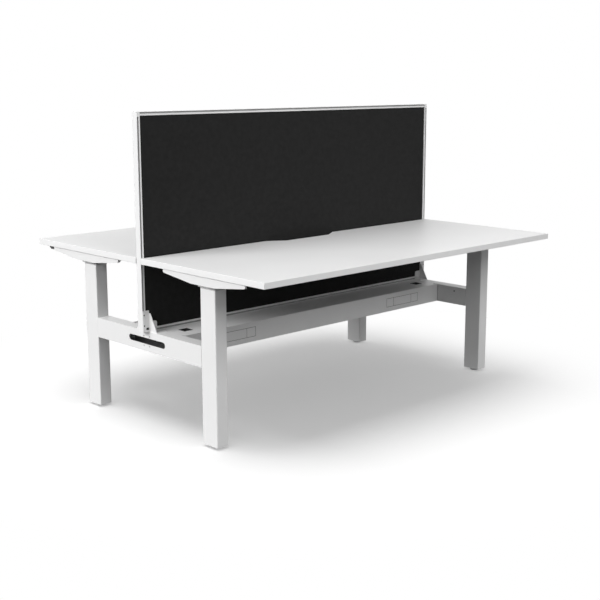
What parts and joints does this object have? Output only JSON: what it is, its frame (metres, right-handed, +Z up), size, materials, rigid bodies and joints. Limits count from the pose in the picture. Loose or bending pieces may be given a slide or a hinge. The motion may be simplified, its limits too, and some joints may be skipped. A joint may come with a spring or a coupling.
{
  "type": "back-to-back sit-stand workstation",
  "caption": "White sit-stand desks back to back on an H frame with telescopic columns, a cable tray and a black fabric screen between them.",
  "frame": {"origin": "on the floor, in the middle of the footprint", "axes": "+X along the worktops, the front desk on the -Y side, +Z up; both desks fully lowered"},
  "size_m": [1.8, 1.536, 1.3095],
  "materials": {
    "white_laminate": "white melamine, satin",
    "white_steel": "white powder coat",
    "white_aluminium": "white powder coat",
    "screen_fabric": "black woven fabric",
    "black_plastic": "black, fine grain",
    "grey_keys": "dark grey, satin",
    "pale_plastic": "pale grey, satin",
    "cast_aluminium": "bead blasted",
    "bright_steel": "bright, oiled",
    "nut_brass": "machined"
  },
  "bodies": {
    "frame": {"outer_tube_front_left": "white_steel", "outer_tube_front_right": "white_steel", "outer_tube_rear_left": "white_steel", "outer_tube_rear_right": "white_steel", "push_tube_front_left": "bright_steel", "push_tube_front_right": "bright_steel", "push_tube_rear_left": "bright_steel", "push_tube_rear_right": "bright_steel", "screen_bracket_front_left": "white_steel", "screen_bracket_front_right": "white_steel", "screen_bracket_rear_left": "white_steel", "screen_bracket_rear_right": "white_steel", "lift_nuts": "nut_brass", "glide_collars": "pale_plastic", "end_beam_left": "white_steel", "end_beam_right": "white_steel", "beam_covers_left": "white_steel", "beam_covers_right": "white_steel", "cable_tray": "white_steel", "tray_lid_front": "white_steel", "tray_lid_rear": "white_steel", "cable_grommets_front": "black_plastic", "cable_grommets_rear": "black_plastic", "screen_stile_left": "white_aluminium", "screen_stile_right": "white_aluminium", "screen_rail_top": "white_aluminium", "screen_rail_bottom": "white_aluminium", "screen_panel": "screen_fabric"},
    "front_desk": {"worktop_front": "white_laminate", "worktop_rail_front": "white_steel", "control_box_front": "black_plastic", "handset_front": "black_plastic", "support_arm_front_left": "white_steel", "drive_head_front_left": "cast_aluminium", "inner_tube_front_left": "white_steel", "support_arm_front_right": "white_steel", "drive_head_front_right": "cast_aluminium", "inner_tube_front_right": "white_steel"},
    "rear_desk": {"worktop_rear": "white_laminate", "worktop_rail_rear": "white_steel", "control_box_rear": "black_plastic", "handset_rear": "black_plastic", "support_arm_rear_left": "white_steel", "drive_head_rear_left": "cast_aluminium", "inner_tube_rear_left": "white_steel", "support_arm_rear_right": "white_steel", "drive_head_rear_right": "cast_aluminium", "inner_tube_rear_right": "white_steel"},
    "front_left_spindle": {"spindle_front_left": "bright_steel"},
    "front_left_foot": {"levelling_foot_front_left": "pale_plastic"},
    "front_right_spindle": {"spindle_front_right": "bright_steel"},
    "front_right_foot": {"levelling_foot_front_right": "pale_plastic"},
    "rear_left_spindle": {"spindle_rear_left": "bright_steel"},
    "rear_left_foot": {"levelling_foot_rear_left": "pale_plastic"},
    "rear_right_spindle": {"spindle_rear_right": "bright_steel"},
    "rear_right_foot": {"levelling_foot_rear_right": "pale_plastic"},
    "front_up_button": {"up_button_front": "grey_keys"},
    "front_down_button": {"down_button_front": "grey_keys"},
    "rear_up_button": {"up_button_rear": "grey_keys"},
    "rear_down_button": {"down_button_rear": "grey_keys"}
  },
  "joints": [
    {"name": "front_lift", "type": "slide", "parent": "frame", "child": "front_desk", "axis": [0, 0, 1], "range_m": [0, 0.48]},
    {"name": "rear_lift", "type": "slide", "parent": "frame", "child": "rear_desk", "axis": [0, 0, 1], "range_m": [0, 0.48]},
    {"name": "front_left_spindle_turn", "type": "hinge", "parent": "front_desk", "child": "front_left_spindle", "pos_m": [-0.8404, -0.4057, 0.4], "axis": [0, 0, 1], "range_deg": [0, 14400]},
    {"name": "front_left_foot_level", "type": "slide", "parent": "frame", "child": "front_left_foot", "axis": [0, 0, 1], "range_m": [-0.015, 0]},
    {"name": "front_right_spindle_turn", "type": "hinge", "parent": "front_desk", "child": "front_right_spindle", "pos_m": [0.8404, -0.4057, 0.4], "axis": [0, 0, 1], "range_deg": [0, 14400]},
    {"name": "front_right_foot_level", "type": "slide", "parent": "frame", "child": "front_right_foot", "axis": [0, 0, 1], "range_m": [-0.015, 0]},
    {"name": "rear_left_spindle_turn", "type": "hinge", "parent": "rear_desk", "child": "rear_left_spindle", "pos_m": [-0.8404, 0.4057, 0.4], "axis": [0, 0, 1], "range_deg": [0, 14400]},
    {"name": "rear_left_foot_level", "type": "slide", "parent": "frame", "child": "rear_left_foot", "axis": [0, 0, 1], "range_m": [-0.015, 0]},
    {"name": "rear_right_spindle_turn", "type": "hinge", "parent": "rear_desk", "child": "rear_right_spindle", "pos_m": [0.8404, 0.4057, 0.4], "axis": [0, 0, 1], "range_deg": [0, 14400]},
    {"name": "rear_right_foot_level", "type": "slide", "parent": "frame", "child": "rear_right_foot", "axis": [0, 0, 1], "range_m": [-0.015, 0]},
    {"name": "front_up_button_press", "type": "slide", "parent": "front_desk", "child": "front_up_button", "axis": [0, 1, 0], "range_m": [0, 0.0012], "stiffness_N_per_m": 1500, "springref_m": -0.0005},
    {"name": "front_down_button_press", "type": "slide", "parent": "front_desk", "child": "front_down_button", "axis": [0, 1, 0], "range_m": [0, 0.0012], "stiffness_N_per_m": 1500, "springref_m": -0.0005},
    {"name": "rear_up_button_press", "type": "slide", "parent": "rear_desk", "child": "rear_up_button", "axis": [0, -1, 0], "range_m": [0, 0.0012], "stiffness_N_per_m": 1500, "springref_m": -0.0005},
    {"name": "rear_down_button_press", "type": "slide", "parent": "rear_desk", "child": "rear_down_button", "axis": [0, -1, 0], "range_m": [0, 0.0012], "stiffness_N_per_m": 1500, "springref_m": -0.0005}
  ],
  "couplings": [
    {"joint": "front_left_spindle_turn", "follows": "front_lift", "rad_per_m": 523.6},
    {"joint": "front_right_spindle_turn", "follows": "front_lift", "rad_per_m": 523.6},
    {"joint": "rear_left_spindle_turn", "follows": "rear_lift", "rad_per_m": 523.6},
    {"joint": "rear_right_spindle_turn", "follows": "rear_lift", "rad_per_m": 523.6}
  ]
}
